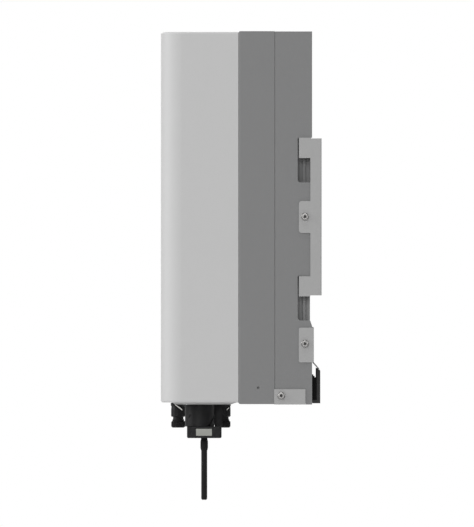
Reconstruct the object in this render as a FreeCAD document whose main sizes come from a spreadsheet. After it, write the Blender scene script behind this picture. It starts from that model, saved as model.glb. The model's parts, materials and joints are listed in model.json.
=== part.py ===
# A wall-hung string inverter, as a parametric document: one object per sub-part, each written to parts/.
# Millimetres. The origin lies on the wall, in the middle of the wall bracket's bolt pattern.
# +Z is up, the front faces -Y, and +X is to the right as seen from the front.

import FreeCAD
import Part
import Sketcher

import os
import re

# Driving dimensions. Every alias becomes a cell of the sheet.
SIZES = {
    # the stack from the front to the wall, along Y
    "housing_front": -161.5,
    "housing_rear": -83.6,
    "frame_rear": -47.0,
    "plate_rear": -41.0,
    "fin_rear": -11.7,
    "cover_rear": -9.6,
    # heights along Z
    "housing_top": 185.7,
    "housing_bottom": -186.4,
    "frame_top": 186.5,
    "frame_bottom": -188.0,
    "sink_top": 186.2,
    "sink_bottom": -188.4,
    # half widths along X
    "housing_half": 185.3,
    "body_half": 186.0,
    "bracket_half": 187.5,
    # housing and frame walls
    "housing_wall": 3.0,
    "frame_wall": 3.5,
    "front_radius": 20.5,
    "edge_radius": 2.0,
    "seam_chamfer": 0.5,
    "flange_thick": 3.0,
    "flange_inner_half": 168.0,
    "flange_inner_top": 168.5,
    "flange_inner_bottom": -170.0,
    "gasket_inset": 1.5,
    "gasket_wide": 4.0,
    "gasket_thick": 1.5,
    # the screws that clamp housing, frame and heat sink together
    "clamp_half": 178.5,
    "clamp_top": 177.5,
    "clamp_bottom": -179.0,
    "clamp_side_step": 110.0,
    "clamp_row_half": 110.0,
    "clamp_boss": 11.6,
    "clamp_hole": 4.5,
    "clamp_shank": 4.0,
    "clamp_boss_depth": 20.0,
    # port boss under the housing
    "port_face": -188.4,
    "port_half": 166.0,
    "port_front": -147.6,
    "port_front_foot": -150.3,
    "port_rear": -91.1,
    "port_rear_foot": -84.6,
    "port_inside": -183.4,
    "washer_thick": 0.8,
    "nut_seat": -182.6,
    # side covers of the heat-sink bay and their notches
    "cover_thick": 3.0,
    "notch_front": -24.1,
    "notch_rear": -11.5,
    "upper_notch_top": 79.5,
    "upper_notch_bottom": 34.6,
    "lower_notch_top": -59.2,
    "lower_notch_bottom": -104.0,
    "flare_bottom": -109.6,
    "notch_radius": 3.0,
    "cover_flange_inner": 174.0,
    "cover_flange_thick": 2.0,
    # fins
    "fin_thick": 2.4,
    "fin_tip_thick": 1.6,
    "fin_pitch": 10.5,
    "fin_field_half": 157.5,
    "fin_top": 168.0,
    "fin_bottom": -169.0,
    "outer_fin_inner": 168.0,
    "outer_fin_outer": 173.0,
    "fin_groove_deep": 2.4,
    "fin_groove_narrow": 1.2,
    "fin_groove_wide": 1.9,
    "fin_groove_front": -20.0,
    "fin_tip_front": -14.3,
    "fin_tip_set_back": 1.2,
    # wall bracket
    "bracket_sheet": 1.5,
    "bracket_flange": 11.4,
    "bracket_top": 78.8,
    "tab_reach": 22.8,
    "tab_radius": 3.0,
    "hook_inner": 175.0,
    "hook_front": -22.3,
    "bolt_x": 150.0,
    "bolt_z": 55.0,
    "bolt_hole": 8.0,
    # side screws
    "side_screw_y": -16.7,
    "bracket_screw_z": 0.25,
    "socket_wide": 3.0,
    "spacer_screw_z": -127.3,
    "guard_screw_y": -40.6,
    "guard_screw_z": -179.6,
    "screw_head": 7.6,
    "screw_head_high": 2.2,
    "screw_shank": 4.0,
    "screw_hole": 4.2,
    # lower spacer, and the rubber behind it
    "thin_sheet": 1.2,
    "spacer_top": -111.2,
    "spacer_tab_bottom": -146.1,
    "spacer_tab_front": -22.9,
    "spacer_bend": -146.7,
    "spacer_leaf_top": -152.8,
    "spacer_leaf_bottom": -186.0,
    "spacer_leaf_rear": -2.4,
    "spacer_web_rear": -7.8,
    "spacer_leaf_half": 159.0,
    "strip_end": 1.2,
    "strip_front": -4.8,
    "strip_rear": -1.3,
    "strip_top": -152.9,
    "strip_bottom": -187.3,
    "strip_foot_front": -9.2,
    "strip_foot_top": -184.0,
    "buffer_top": -159.8,
    "buffer_inner": 120.0,
    "buffer_outer": 160.0,
    # bottom guard
    "guard_front": -47.7,
    "guard_rear": -16.3,
    "guard_tab_top": -173.0,
    "slot_row_half": 172.5,
    # grounding points on both sides of the frame
    "ground_y": -63.7,
    "ground_z": -171.6,
    # ports: rows along X
    "connector_pitch": 36.0,
    "connector_first_x": -92.0,
    "connector_front_y": -144.6,
    "connector_rear_y": -98.7,
    "connector_tail": 10.4,
    "dc_bore": 4.4,
    "dc_collar": 7.2,
    "dc_collar_end": -13.0,
    "dc_neck": 5.2,
    "dc_neck_end": -16.6,
    "dc_groove_floor": 4.6,
    "dc_cap_top": -16.8,
    "dc_cap_bottom": -24.7,
    "port_row_y": -119.0,
    "switch_x": -145.0,
    "ac_x": 75.0,
    "vent_x": 25.0,
    # communication stick
    "stick_x": 135.0,
    "stick_y": -122.6,
    "ring_radius": 14.75,
    "collar_radius": 10.6,
    "stick_front": -135.3,
    "stick_rear": -100.5,
    "stick_half": 17.0,
    "stick_top": -210.9,
    "stick_bottom": -222.4,
    "spine_front": -107.5,
    "spine_rear": -100.1,
    "label_front": -126.2,
    "label_rear": -110.3,
    "label_bottom": -220.0,
    "label_top": -213.1,
    "stick_wall": 2.0,
    "stick_lid": 1.6,
    "antenna_y": -118.0,
    "antenna_tip": -284.6,
    # electronics
    "board_rear": -66.0,
    "board_thick": 1.6,
    "control_rear": -126.4,
}

CLAMP_POINTS = [
    (side + "clamp_half", high)
    for side in ("-", "")
    for high in ("clamp_top", "clamp_side_step", "0", "-clamp_side_step", "clamp_bottom")
] + [(side + "clamp_row_half", high) for side in ("-", "") for high in ("clamp_top", "clamp_bottom")]

doc = FreeCAD.newDocument("StringInverter")
sheet = doc.addObject("Spreadsheet::Sheet", "dims")
for row, (alias, number) in enumerate(SIZES.items(), start=1):
    cell = "B%d" % row
    sheet.set("A%d" % row, alias)
    sheet.set(cell, str(number))
    sheet.setAlias(cell, alias)
doc.recompute()

PLANES = {"x": ("YZ_Plane", 1), "y": ("XZ_Plane", -1), "z": ("XY_Plane", 1)}
AXES = {"x": "X_Axis", "y": "Y_Axis", "z": "Z_Axis"}
TURNS = {
    "z": FreeCAD.Rotation(),
    "x": FreeCAD.Rotation(FreeCAD.Vector(0, 1, 0), 90),
    "-x": FreeCAD.Rotation(FreeCAD.Vector(0, 1, 0), -90),
    "y": FreeCAD.Rotation(FreeCAD.Vector(1, 0, 0), -90),
    "-y": FreeCAD.Rotation(FreeCAD.Vector(1, 0, 0), 90),
}
PARTS = []
FIN_COUNT = 31
COLUMNS = 3
WINDOW_DEPTH = ("housing_front", "housing_front + 1.5")


# ---- helpers: expressions, sketches, features -------------------------------------------------


def bound(text):
    """An expression with every alias pointing at the sheet."""
    return re.sub(r"[a-z][a-z_]+", lambda word: "dims." + word.group(0), str(text))


def value(text):
    return float(sheet.evalExpression(bound(text)))


def bind(thing, prop, text):
    thing.setExpression(prop, bound(text))


def label(thing, name):
    """Name a finished sub-part and keep it for writing."""
    thing.Label = name
    PARTS.append(thing)
    return thing


def new_body(name):
    return doc.addObject("PartDesign::Body", name + "_body")


def origin_feature(body, role):
    return [feature for feature in body.Origin.OriginFeatures if feature.Role == role][0]


def area(first_low, first_high, second_low, second_high):
    """A rectangle of a sketch: its range along the sketch's first and second direction."""
    return [
        (first_low, second_low),
        (first_high, second_low),
        (first_high, second_high),
        (first_low, second_high),
    ]


def disc(first, second, diameter):
    return (first, second, diameter)


def fix_point(sketch, geometry, place, point):
    for kind, text in zip(("DistanceX", "DistanceY"), point):
        index = sketch.addConstraint(Sketcher.Constraint(kind, -1, 1, geometry, place, value(text)))
        sketch.setExpression("Constraints[%d]" % index, bound(text))


def add_polygon(sketch, points):
    corners = [FreeCAD.Vector(value(a), value(b), 0) for a, b in points]
    first = sketch.GeometryCount
    count = len(corners)
    for index in range(count):
        sketch.addGeometry(Part.LineSegment(corners[index], corners[(index + 1) % count]))
    for index in range(count):
        following = first + (index + 1) % count
        sketch.addConstraint(Sketcher.Constraint("Coincident", first + index, 2, following, 1))
    for index in range(count):
        fix_point(sketch, first + index, 1, points[index])


def add_circle(sketch, circle):
    centre = FreeCAD.Vector(value(circle[0]), value(circle[1]), 0)
    geometry = sketch.addGeometry(Part.Circle(centre, FreeCAD.Vector(0, 0, 1), value(circle[2]) / 2))
    fix_point(sketch, geometry, 3, circle[:2])
    index = sketch.addConstraint(Sketcher.Constraint("Diameter", geometry, value(circle[2])))
    sketch.setExpression("Constraints[%d]" % index, bound(circle[2]))


def sketch_on(body, axis, level, outlines):
    """A sketch square to an axis. Its directions are Y,Z or X,Z or X,Y for the axis x, y or z."""
    role, sign = PLANES[axis]
    sketch = body.newObject("Sketcher::SketchObject", "outline")
    sketch.AttachmentSupport = [(origin_feature(body, role), "")]
    sketch.MapMode = "FlatFace"
    bind(sketch, "AttachmentOffset.Base.z", "%d * (%s)" % (sign, level))
    for outline in outlines:
        if isinstance(outline, tuple):
            add_circle(sketch, outline)
        else:
            add_polygon(sketch, outline)
    return sketch


def pad(body, axis, low, high, outlines):
    """Material between two levels of an axis."""
    start = high if axis == "y" else low
    feature = body.newObject("PartDesign::Pad", "pad")
    feature.Profile = sketch_on(body, axis, start, outlines)
    bind(feature, "Length", "(%s) - (%s)" % (high, low))
    return feature


def pocket(body, axis, low, high, outlines):
    """A hollow between two levels of an axis."""
    start = low if axis == "y" else high
    doc.recompute()
    before = body.Shape.Volume
    feature = body.newObject("PartDesign::Pocket", "pocket")
    feature.Profile = sketch_on(body, axis, start, outlines)
    bind(feature, "Length", "(%s) - (%s)" % (high, low))
    doc.recompute()
    if body.Shape.Volume > before - 0.01:
        raise RuntimeError("a pocket of %s cuts nothing" % body.Name)
    return feature


def revolve(body, points):
    """A solid of revolution about Z. Each point is a radius and a height."""
    feature = body.newObject("PartDesign::Revolution", "turned")
    feature.Profile = sketch_on(body, "y", "0", [points])
    feature.ReferenceAxis = (origin_feature(body, "Z_Axis"), [""])
    feature.Angle = 360
    return feature


def repeat(body, feature, axis, length, count):
    pattern = body.newObject("PartDesign::LinearPattern", "row")
    pattern.Originals = [feature]
    pattern.Direction = (origin_feature(body, AXES[axis]), [""])
    bind(pattern, "Length", length)
    pattern.Occurrences = count
    body.Tip = pattern
    return pattern


def repeat_round(body, feature, count):
    pattern = body.newObject("PartDesign::PolarPattern", "round")
    pattern.Originals = [feature]
    pattern.Axis = (origin_feature(body, "Z_Axis"), [""])
    pattern.Angle = 360
    pattern.Occurrences = count
    body.Tip = pattern
    return pattern


def soften(body, kind, size, test):
    """A Fillet or Chamfer on the edges of the body that pass a test of their middle and direction."""
    doc.recompute()
    base = body.Tip
    names = []
    for number, edge in enumerate(base.Shape.Edges, start=1):
        middle = edge.valueAt((edge.FirstParameter + edge.LastParameter) / 2)
        direction = edge.tangentAt((edge.FirstParameter + edge.LastParameter) / 2)
        if test(middle, direction, edge):
            names.append("Edge%d" % number)
    if not names:
        raise RuntimeError("no edge of %s to soften" % body.Name)
    feature = body.newObject("PartDesign::" + kind, kind.lower())
    feature.Base = (base, names)
    bind(feature, "Radius" if kind == "Fillet" else "Size", size)
    doc.recompute()
    return feature


def near(number, text, gap=0.01):
    return abs(number - value(text)) < gap


def block(name, xs, ys, zs):
    """A plain box between two limits along each axis."""
    solid = doc.addObject("Part::Box", name)
    for prop, (low, high) in zip(("Length", "Width", "Height"), (xs, ys, zs)):
        bind(solid, prop, "(%s) - (%s)" % (high, low))
    for axis, (low, _) in zip("xyz", (xs, ys, zs)):
        bind(solid, "Placement.Base." + axis, low)
    return solid


def rod(name, axis, base, diameter, length):
    """A plain cylinder from a base point along a signed axis."""
    solid = doc.addObject("Part::Cylinder", name)
    bind(solid, "Radius", "(%s) / 2" % diameter)
    bind(solid, "Height", length)
    solid.Placement = FreeCAD.Placement(FreeCAD.Vector(), TURNS[axis])
    for letter, text in zip("xyz", base):
        bind(solid, "Placement.Base." + letter, text)
    return solid


def cut(name, base, tool):
    result = doc.addObject("Part::Cut", name)
    result.Base = base
    result.Tool = tool
    return result


def group(name, solids):
    result = doc.addObject("Part::Compound", name)
    result.Links = solids
    return result


def copies(name, source, places, axis="z"):
    """Copies of one master at several places, as one group of separate solids."""
    links = []
    for place in places:
        link = doc.addObject("App::Link", name + "_copy")
        link.LinkedObject = source
        turn = place[3] if len(place) > 3 else axis
        link.Placement = FreeCAD.Placement(FreeCAD.Vector(), TURNS[turn])
        for letter, text in zip("xyz", place):
            bind(link, "Placement.Base." + letter, text)
        links.append(link)
    return group(name, links)


def screw(name, head, head_high, shank, length, socket):
    """A button-head socket screw along Z: the head stands above zero, the shank goes down."""
    body = new_body(name)
    pad(body, "z", "-(%s)" % length, "0", [disc("0", "0", shank)])
    pad(body, "z", "0", head_high, [disc("0", "0", head)])
    soften(body, "Fillet", "(%s) * 0.55" % head_high, lambda p, d, e: near(p.z, head_high))
    flat = "(%s) / 2" % socket
    corner = "(%s) * 0.57735" % socket
    hexagon = [
        (corner, "0"),
        ("(%s) / 2" % corner, flat),
        ("-(%s) / 2" % corner, flat),
        ("-(%s)" % corner, "0"),
        ("-(%s) / 2" % corner, "-(%s)" % flat),
        ("(%s) / 2" % corner, "-(%s)" % flat),
    ]
    pocket(body, "z", "(%s) * 0.35" % head_high, head_high, [hexagon])
    return body


def hexagon_ring(name, flats, bore, high):
    """A hexagon nut standing on zero."""
    half = "(%s) / 2" % flats
    corner = "(%s) * 0.57735" % flats
    body = new_body(name)
    outline = [
        (corner, "0"),
        ("(%s) / 2" % corner, half),
        ("-(%s) / 2" % corner, half),
        ("-(%s)" % corner, "0"),
        ("-(%s) / 2" % corner, "-(%s)" % half),
        ("(%s) / 2" % corner, "-(%s)" % half),
    ]
    pad(body, "z", "0", high, [outline, disc("0", "0", bore)])
    return body


# ---- housing, frame and seals ------------------------------------------------------------------


def connector_places(high, rows=("connector_front_y", "connector_rear_y")):
    """The columns of the string connectors, in one row or both."""
    return [
        ("connector_first_x + %d * connector_pitch" % column, row, high)
        for column in range(COLUMNS)
        for row in rows
    ]


def front_housing():
    body = new_body("front_housing")
    outline = area("-housing_half", "housing_half", "housing_front", "housing_rear")
    pad(body, "z", "housing_bottom", "housing_top", [outline])
    soften(
        body,
        "Fillet",
        "front_radius",
        lambda p, d, e: abs(d.z) > 0.9 and near(p.y, "housing_front"),
    )
    rear_face = [
        "Face%d" % number
        for number, face in enumerate(body.Shape.Faces, start=1)
        if near(face.CenterOfMass.y, "housing_rear")
    ]
    solid = body.Tip
    shell = body.newObject("PartDesign::Thickness", "shell")
    shell.Base = (solid, rear_face)
    shell.Reversed = True
    bind(shell, "Value", "housing_wall")
    doc.recompute()
    soften(
        body,
        "Fillet",
        "edge_radius",
        lambda p, d, e: (near(p.z, "housing_top") or near(p.z, "housing_bottom"))
        and p.y < value("housing_rear") - 1,
    )
    rim_outer = area(
        "-housing_half + housing_wall / 2",
        "housing_half - housing_wall / 2",
        "housing_bottom + housing_wall / 2",
        "housing_top - housing_wall / 2",
    )
    rim_inner = area(
        "-flange_inner_half", "flange_inner_half", "flange_inner_bottom", "flange_inner_top"
    )
    pad(body, "y", "housing_rear - flange_thick", "housing_rear", [rim_outer, rim_inner])
    bosses = [disc(x, z, "clamp_boss") for x, z in CLAMP_POINTS]
    pad(body, "y", "housing_rear - clamp_boss_depth", "housing_rear", bosses)
    profile = [
        ("port_front_foot", "housing_bottom"),
        ("port_front", "port_face"),
        ("port_rear", "port_face"),
        ("port_rear + 4", "port_face + 1.4"),
        ("port_rear_foot", "housing_bottom"),
        ("port_rear_foot", "housing_bottom + housing_wall"),
        ("port_front_foot", "housing_bottom + housing_wall"),
    ]
    pad(body, "x", "-port_half", "port_half", [profile])
    pilots = [disc(x, z, "clamp_shank + 0.2") for x, z in CLAMP_POINTS]
    pocket(body, "y", "housing_rear - clamp_boss_depth + 3", "housing_rear", pilots)
    holes = [disc(x, y, "connector_tail + 0.2") for x, y, _ in connector_places("0")]
    holes.append(disc("switch_x", "port_row_y", "10.2"))
    holes.append(disc("ac_x", "port_row_y", "22"))
    holes.append(disc("vent_x", "port_row_y", "10.2"))
    holes.append(disc("stick_x", "stick_y", "18.2"))
    pocket(body, "z", "port_face - 1", "port_inside + 1", holes)
    window = area("-34", "34", "86", "100")
    pocket(body, "y", "housing_front", "housing_front + 1.5", [window])
    lights = [disc("%d" % x, "93", "5") for x in (-18, 0, 18)]
    pocket(body, "y", "housing_front + 1.5", "housing_front + housing_wall", lights)
    posts = [disc("%d" % x, "93", "5") for x in (-36, 36)]
    front_inside = "housing_front + housing_wall"
    pad(body, "y", front_inside, front_inside + " + 5", posts)
    return label(body, "front_housing")


def chassis_frame():
    body = new_body("chassis_frame")
    outer = area("-body_half", "body_half", "frame_bottom", "frame_top")
    inner = area(
        "-flange_inner_half", "flange_inner_half", "flange_inner_bottom", "flange_inner_top"
    )
    pad(body, "y", "housing_rear", "frame_rear", [outer, inner])
    hollow = area(
        "-body_half + frame_wall",
        "body_half - frame_wall",
        "frame_bottom + frame_wall",
        "frame_top - frame_wall",
    )
    pocket(body, "y", "housing_rear + flange_thick", "frame_rear - flange_thick", [hollow])
    bosses = [disc(x, z, "clamp_boss") for x, z in CLAMP_POINTS]
    pad(body, "y", "housing_rear", "frame_rear", bosses)
    ground = disc("ground_y", "ground_z", "9")
    pad(body, "x", "-body_half", "-body_half + 8", [ground])
    pocket(body, "y", "housing_rear", "frame_rear", [disc(x, z, "clamp_hole") for x, z in CLAMP_POINTS])
    groove = gasket_outlines("0")
    pocket(body, "y", "housing_rear", "housing_rear + gasket_thick", groove)
    pocket(body, "y", "frame_rear - gasket_thick", "frame_rear", groove)
    pocket(body, "x", "body_half - 2", "body_half", [disc("ground_y", "ground_z", "2.5")])
    pocket(body, "x", "-body_half", "-body_half + 7", [disc("ground_y", "ground_z", "4.2")])

    def outer_edge(p):
        side = near(abs(p.x), "body_half")
        return side or near(p.z, "frame_top") or near(p.z, "frame_bottom")

    soften(
        body, "Fillet", "edge_radius", lambda p, d, e: near(p.y, "housing_rear") and outer_edge(p)
    )
    soften(
        body, "Chamfer", "seam_chamfer", lambda p, d, e: near(p.y, "frame_rear") and outer_edge(p)
    )
    return label(body, "chassis_frame")


def gasket_outlines(slack):
    """The outer and inner outline of a gasket in its groove, with some play."""
    outlines = []
    for inset in ("gasket_inset + gasket_wide - %s" % slack, "gasket_inset + %s" % slack):
        outlines.append(
            area(
                "-flange_inner_half - (%s)" % inset,
                "flange_inner_half + (%s)" % inset,
                "flange_inner_bottom - (%s)" % inset,
                "flange_inner_top + (%s)" % inset,
            )
        )
    return outlines


def gasket(name, low, high):
    body = new_body(name)
    pad(body, "y", low, high, gasket_outlines("0.2"))
    return label(body, name)


def clamp_screws():
    length = "plate_rear + cover_flange_thick - housing_rear + clamp_boss_depth - 5"
    master = screw("clamp_screw", "7.4", "2.4", "clamp_shank", length, "2.5")
    places = []
    for x, z in CLAMP_POINTS:
        on_cover = x.endswith("clamp_half")
        seat = "plate_rear + cover_flange_thick" if on_cover else "plate_rear"
        places.append((x, seat, z))
    return label(copies("housing_screws", master, places, "y"), "housing_screws")


# ---- heat sink and its bay ---------------------------------------------------------------------


def side_covers():
    body = new_body("side_cover")
    profile = [
        ("frame_rear", "sink_bottom"),
        ("cover_rear", "sink_bottom"),
        ("cover_rear", "flare_bottom"),
        ("notch_rear", "lower_notch_bottom"),
        ("notch_front", "lower_notch_bottom"),
        ("notch_front", "lower_notch_top"),
        ("notch_rear", "lower_notch_top"),
        ("notch_rear", "upper_notch_bottom"),
        ("notch_front", "upper_notch_bottom"),
        ("notch_front", "upper_notch_top"),
        ("cover_rear", "upper_notch_top"),
        ("cover_rear", "sink_top"),
        ("frame_rear", "sink_top"),
    ]
    inside = "body_half - cover_thick"
    pad(body, "x", inside, "body_half", [profile])
    flange = area("plate_rear", "plate_rear + cover_flange_thick", "sink_bottom", "sink_top")
    pad(body, "x", "cover_flange_inner", "body_half - cover_thick / 2", [flange])
    screw_spots = [("side_screw_y", "bracket_screw_z"), ("side_screw_y", "spacer_screw_z")]
    bosses = [disc(y, z, "9") for y, z in screw_spots]
    pad(body, "x", "cover_flange_inner + 2", inside + " + 1", bosses)
    holes = [disc(y, z, "screw_hole") for y, z in screw_spots]
    pocket(body, "x", "cover_flange_inner + 3", "body_half", holes)
    pocket(body, "x", inside, "body_half", [disc("guard_screw_y", "guard_screw_z", "screw_hole")])
    clamps = [disc(x, z, "clamp_hole") for x, z in CLAMP_POINTS if x == "clamp_half"]
    pocket(body, "y", "plate_rear", "plate_rear + cover_flange_thick", clamps)
    recess = area("plate_rear", "guard_rear + 0.1", "sink_bottom", "sink_bottom + thin_sheet + 0.1")
    pocket(body, "x", "cover_flange_inner", "body_half", [recess])

    def notch_corner(p, low):
        return near(p.y, "notch_front") and (near(p.z, low[0]) or near(p.z, low[1]))

    lows = ("upper_notch_bottom", "lower_notch_bottom")
    tops = ("upper_notch_top", "lower_notch_top")
    soften(body, "Fillet", "notch_radius", lambda p, d, e: abs(d.x) > 0.9 and notch_corner(p, lows))
    soften(
        body, "Fillet", "notch_radius / 2", lambda p, d, e: abs(d.x) > 0.9 and notch_corner(p, tops)
    )
    soften(
        body,
        "Chamfer",
        "seam_chamfer",
        lambda p, d, e: near(p.y, "frame_rear") and near(p.x, "body_half"),
    )
    other = doc.addObject("Part::Mirroring", "other_cover")
    other.Source = body
    other.Normal = (1, 0, 0)
    return label(group("side_covers", [body, other]), "side_covers")


def heat_sink():
    body = new_body("heat_sink")
    half = "body_half - cover_thick"
    pad(body, "y", "frame_rear", "plate_rear", [area("-(%s)" % half, half, "sink_bottom", "sink_top")])
    holes = [disc(x, z, "clamp_hole") for x, z in CLAMP_POINTS]
    pocket(body, "y", "frame_rear", "plate_rear", holes)
    return label(body, "heat_sink")


def outer_fin(side):
    """An edge fin with two grooves and a set-back tip on its outer face, half a pitch from the cover."""
    bottom = "outer_fin_outer - fin_groove_deep"
    outline = [
        ("outer_fin_inner", "plate_rear"),
        ("outer_fin_outer", "plate_rear"),
        ("outer_fin_outer", "fin_groove_front"),
        (bottom, "fin_groove_front"),
        (bottom, "fin_groove_front + fin_groove_narrow"),
        ("outer_fin_outer", "fin_groove_front + fin_groove_narrow"),
        ("outer_fin_outer", "fin_tip_front - fin_groove_wide"),
        (bottom, "fin_tip_front - fin_groove_wide"),
        (bottom, "fin_tip_front"),
        ("outer_fin_outer - fin_tip_set_back", "fin_tip_front"),
        ("outer_fin_outer - fin_tip_set_back", "fin_rear"),
        ("outer_fin_inner", "fin_rear"),
    ]
    body = new_body("outer_fin")
    pad(body, "z", "fin_bottom", "fin_top", [[(side + "(%s)" % x, y) for x, y in outline]])
    return body


def sink_fins():
    """Thin fins bonded to the plate, and a thicker grooved one at each edge."""
    fin = new_body("sink_fin")
    root = "fin_thick / 2"
    tip = "fin_tip_thick / 2"
    outline = [
        ("-" + root, "plate_rear"),
        (root, "plate_rear"),
        (tip, "fin_rear"),
        ("-" + tip, "fin_rear"),
    ]
    pad(fin, "z", "fin_bottom", "fin_top", [outline])
    places = [("-fin_field_half + %d * fin_pitch" % count, "0", "0") for count in range(FIN_COUNT)]
    row = copies("fin_row", fin, places)
    return label(group("sink_fins", [row, outer_fin(""), outer_fin("-")]), "sink_fins")


# ---- wall bracket, lower spacer and guard ------------------------------------------------------


def wall_bracket():
    body = new_body("wall_bracket")
    sheet_front = "-bracket_sheet"
    plate = area("-bracket_half", "bracket_half", "-bracket_top", "bracket_top")
    pad(body, "y", sheet_front, "0", [plate])
    profile = [
        ("0", "-bracket_top"),
        ("0", "bracket_top"),
        ("-bracket_flange", "bracket_top"),
        ("-bracket_flange", "upper_notch_top"),
        ("-tab_reach", "upper_notch_top"),
        ("-tab_reach", "59.1"),
        ("-bracket_flange", "59.1"),
        ("-bracket_flange", "15.9"),
        ("-tab_reach", "15.9"),
        ("-tab_reach", "-16.2"),
        ("-bracket_flange", "-16.2"),
        ("-bracket_flange", "-59.5"),
        ("-tab_reach", "-59.5"),
        ("-tab_reach", "-79.8"),
        ("-bracket_flange", "-79.8"),
        ("-bracket_flange", "-bracket_top"),
    ]
    for low, high in (("body_half", "bracket_half"), ("-bracket_half", "-body_half")):
        pad(body, "x", low, high, [profile])
    hooks = [
        area("hook_front", "notch_rear - 1", "upper_notch_top - bracket_sheet", "upper_notch_top"),
        area("hook_front", "notch_rear - 1", "-59.5 - bracket_sheet", "-59.5"),
    ]
    for low, high in (("hook_inner", "body_half"), ("-body_half", "-hook_inner")):
        pad(body, "x", low, high, hooks)
    for low in ("bracket_top - bracket_sheet", "-bracket_top"):
        stiffener = area("-body_half", "body_half", "-9", "-bracket_sheet / 2")
        pad(body, "z", low, low + " + bracket_sheet", [stiffener])
    holes = [disc(x + "bolt_x", z + "bolt_z", "bolt_hole") for x in ("-", "") for z in ("-", "")]
    pocket(body, "y", sheet_front, "0", holes)
    windows = [
        area("%d" % (x - 20), "%d" % (x + 20), "%d" % (z - 15), "%d" % (z + 15))
        for x in (-104, -52, 0, 52, 104)
        for z in (-32, 32)
    ]
    pocket(body, "y", sheet_front, "0", windows)
    screw_holes = [disc("side_screw_y", "bracket_screw_z", "screw_hole")]
    pocket(body, "x", "body_half", "bracket_half", screw_holes)
    pocket(body, "x", "-bracket_half", "-body_half", screw_holes)

    def tab_corner(p, levels):
        return near(p.y, "-tab_reach") and any(near(p.z, level) for level in levels)

    soften(
        body,
        "Fillet",
        "tab_radius",
        lambda p, d, e: abs(d.x) > 0.9 and tab_corner(p, ("15.9", "-16.2")),
    )
    soften(
        body,
        "Fillet",
        "bracket_sheet",
        lambda p, d, e: abs(d.z) > 0.9 and near(abs(p.x), "bracket_half") and near(p.y, "0"),
    )
    soften(
        body,
        "Fillet",
        "bracket_sheet * 2",
        lambda p, d, e: abs(d.y) > 0.9 and e.Length < 1.6 and abs(p.z) < 50 and abs(p.x) < 130,
    )
    return label(body, "wall_bracket")


def lower_spacer():
    body = new_body("lower_spacer")
    web_front = "spacer_web_rear - thin_sheet"
    leaf_front = "spacer_leaf_rear - thin_sheet"
    leaf = [
        ("spacer_web_rear", "spacer_top"),
        (web_front, "spacer_top"),
        (web_front, "spacer_bend"),
        (leaf_front, "spacer_leaf_top"),
        (leaf_front, "spacer_leaf_bottom"),
        ("spacer_leaf_rear", "spacer_leaf_bottom"),
        ("spacer_leaf_rear", "spacer_leaf_top + 0.5"),
        ("spacer_web_rear", "spacer_bend + 0.5"),
    ]
    pad(body, "x", "-spacer_leaf_half", "spacer_leaf_half", [leaf])
    web = area(
        "-body_half - thin_sheet", "body_half + thin_sheet", "spacer_tab_bottom", "spacer_top"
    )
    pad(body, "y", web_front, "spacer_web_rear", [web])
    tab = area("spacer_tab_front", "spacer_web_rear", "spacer_tab_bottom", "spacer_top")
    pad(body, "x", "body_half", "body_half + thin_sheet", [tab])
    pad(body, "x", "-body_half - thin_sheet", "-body_half", [tab])
    hole = [disc("side_screw_y", "spacer_screw_z", "screw_hole")]
    pocket(body, "x", "body_half", "body_half + thin_sheet", hole)
    pocket(body, "x", "-body_half - thin_sheet", "-body_half", hole)
    soften(
        body,
        "Fillet",
        "edge_radius",
        lambda p, d, e: abs(d.x) > 0.9 and near(p.y, "spacer_tab_front"),
    )
    return label(body, "lower_spacer")


def spacer_strip():
    """A rubber sleeve pushed onto the leaf's lower edge, with a foot towards the fins."""
    body = new_body("spacer_strip")
    half = "spacer_leaf_half + strip_end"
    outline = [
        ("strip_rear", "strip_bottom"),
        ("strip_rear", "strip_top - 1.6"),
        ("strip_front", "strip_top"),
        ("strip_front", "strip_foot_top"),
        ("strip_foot_front", "strip_foot_top"),
        ("strip_foot_front", "strip_bottom"),
    ]
    pad(body, "x", "-(%s)" % half, half, [outline])
    slot = area(
        "-spacer_leaf_half - 0.1",
        "spacer_leaf_half + 0.1",
        "spacer_leaf_rear - thin_sheet - 0.05",
        "spacer_leaf_rear + 0.05",
    )
    pocket(body, "z", "spacer_leaf_bottom", "strip_top + 1", [slot])
    return label(body, "spacer_strip")


def spacer_buffers():
    """A stepped rubber block at each end of the sleeve's foot."""
    front = "strip_foot_front - 0.1"
    stepped = [
        (front, "strip_foot_top"),
        ("strip_front", "strip_foot_top"),
        ("strip_front", "buffer_top - 3"),
        ("strip_front - 1.2", "buffer_top - 3"),
        ("strip_front - 1.2", "buffer_top - 1.5"),
        ("strip_front - 2.5", "buffer_top - 1.5"),
        ("strip_front - 2.5", "buffer_top"),
        (front, "buffer_top"),
    ]
    solids = []
    for low, high in (("buffer_inner", "buffer_outer"), ("-buffer_outer", "-buffer_inner")):
        body = new_body("spacer_buffer")
        pad(body, "x", low, high, [stepped])
        solids.append(body)
    return label(group("spacer_buffers", solids), "spacer_buffers")


def bottom_guard():
    body = new_body("bottom_guard")
    top = "sink_bottom + thin_sheet"
    outer = "body_half + thin_sheet"
    plate = area("-(%s)" % outer, outer, "plate_rear + 0.1", "guard_rear")
    pad(body, "z", "sink_bottom", top, [plate])
    tab = area("guard_front", "guard_rear", "sink_bottom", "guard_tab_top")
    pad(body, "x", "body_half", outer, [tab])
    pad(body, "x", "-(%s)" % outer, "-body_half", [tab])
    hole = [disc("guard_screw_y", "guard_screw_z", "screw_hole")]
    pocket(body, "x", "body_half", outer, hole)
    pocket(body, "x", "-(%s)" % outer, "-body_half", hole)
    column = [
        area("-slot_row_half - 5", "-slot_row_half + 5", "-37.5", "-30"),
        area("-slot_row_half - 5", "-slot_row_half + 5", "-27", "-19.5"),
    ]
    slots = pocket(body, "z", "sink_bottom", top, column)
    repeat(body, slots, "x", "2 * slot_row_half", 24)
    return label(body, "bottom_guard")


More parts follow.
